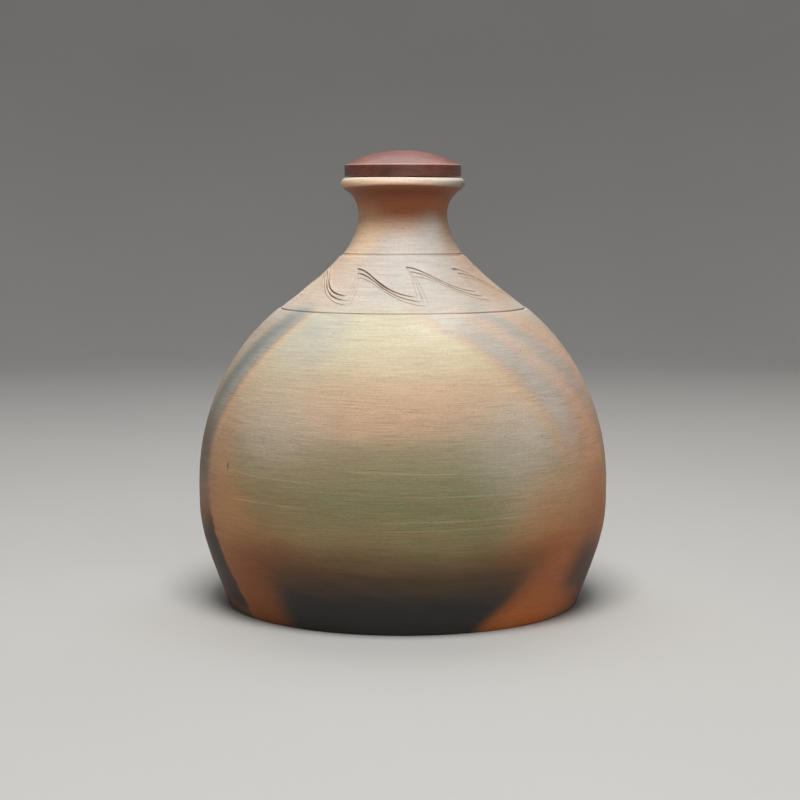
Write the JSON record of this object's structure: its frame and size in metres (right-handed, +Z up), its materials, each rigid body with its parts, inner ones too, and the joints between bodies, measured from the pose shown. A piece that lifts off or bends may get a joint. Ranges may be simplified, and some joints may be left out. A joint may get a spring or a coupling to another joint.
{
  "type": "sake bottle",
  "caption": "Round-bellied unglazed stoneware sake bottle with a flat base, a narrow waisted neck, a rolled lip and a domed wooden stopper lid that lifts out.",
  "frame": {"origin": "centre of the flat base, on the surface the bottle stands on", "axes": "+Z up along the turning axis, towards the lid; -Y towards the viewer of the front, +X to the viewer's right"},
  "size_m": [0.166, 0.166, 0.1825],
  "materials": {
    "stoneware": "unglazed, burnished satin",
    "lid_wood": "oiled satin",
    "plug_wood": "bare, finely turned",
    "dowel_wood": "bare",
    "seal_silicone": "matte"
  },
  "bodies": {
    "bottle": {"bottle_body": "stoneware"},
    "lid": {"lid_cap": "lid_wood", "stopper_plug": "plug_wood", "stopper_dowel": "dowel_wood", "seal_ring_upper": "seal_silicone", "seal_ring_lower": "seal_silicone"}
  },
  "joints": [
    {"name": "lid_lift", "type": "slide", "parent": "bottle", "child": "lid", "axis": [0, 0, 1], "range_m": [0, 0.09]}
  ]
}
